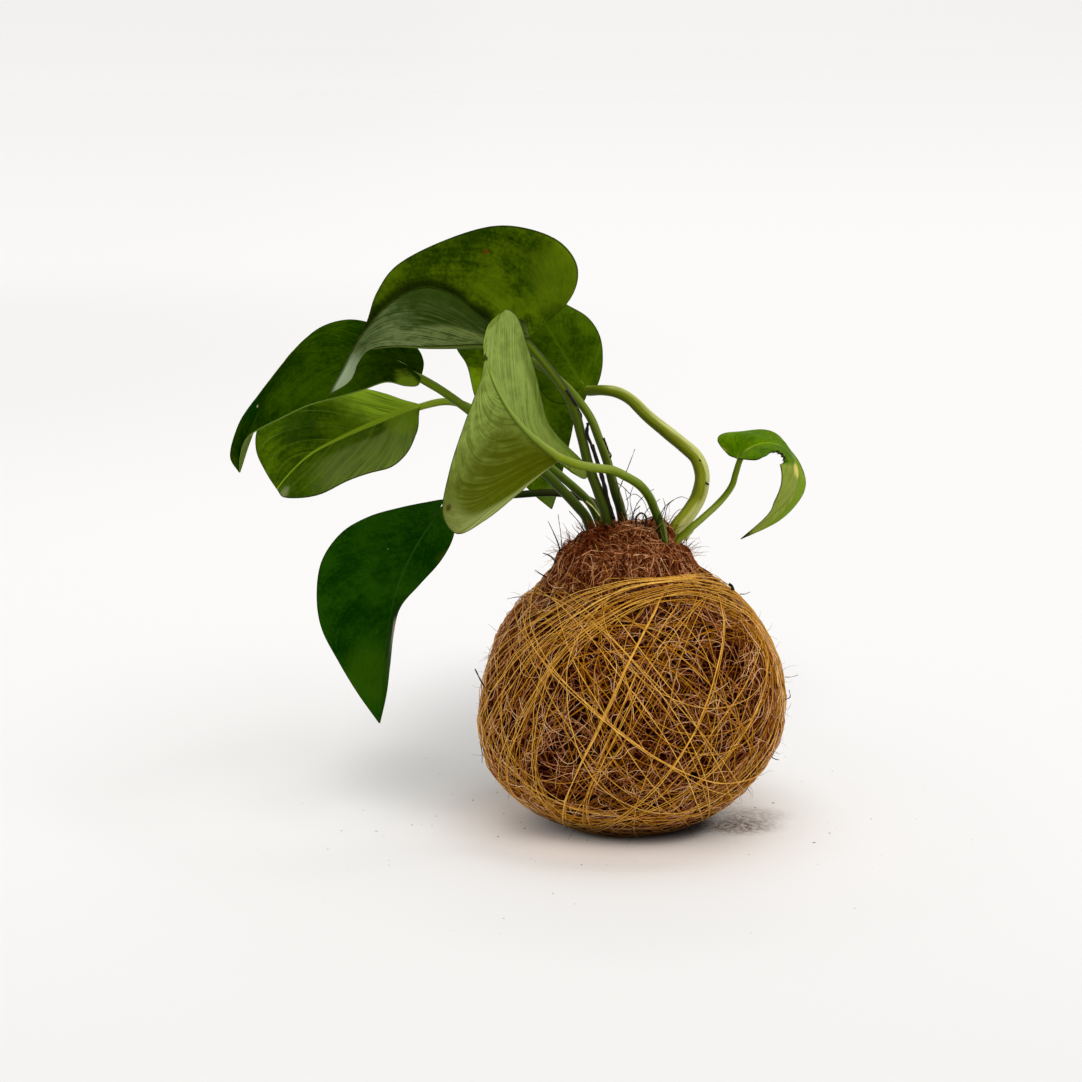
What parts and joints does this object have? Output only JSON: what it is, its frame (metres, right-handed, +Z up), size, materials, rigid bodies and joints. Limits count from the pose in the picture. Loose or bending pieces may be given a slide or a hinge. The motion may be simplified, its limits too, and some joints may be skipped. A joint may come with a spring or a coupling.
{
  "type": "kokedama plant",
  "caption": "Leafy vine with heart-shaped leaves on long curved stalks, rooted in a coir fibre ball that is wound with thread and rests on a small flat foot.",
  "frame": {"origin": "centre of the flat foot that the ball rests on", "axes": "+Z up, +X to the viewer's right in the picture, +Y away from the viewer"},
  "size_m": [0.2065, 0.119, 0.2159],
  "materials": {
    "coir": "matte fibre",
    "thread": "satin twisted thread",
    "soil": "matte crumbly",
    "leaf": "glossy upper face, matte pale underside",
    "stem": "smooth satin"
  },
  "bodies": {
    "root": {"coir_wrap": "coir", "soil_core": "soil", "thread_winding": "thread", "vine_stem": "stem", "petiole_top": "stem", "petiole_rear": "stem", "petiole_front": "stem", "petiole_left": "stem", "petiole_left_low": "stem", "petiole_hanging": "stem", "petiole_small": "stem", "leaf_top": "leaf", "leaf_front": "leaf", "leaf_left": "leaf", "leaf_left_low": "leaf", "leaf_hanging": "leaf", "leaf_back": "leaf", "leaf_rear": "leaf", "leaf_small": "leaf"}
  },
  "joints": []
}
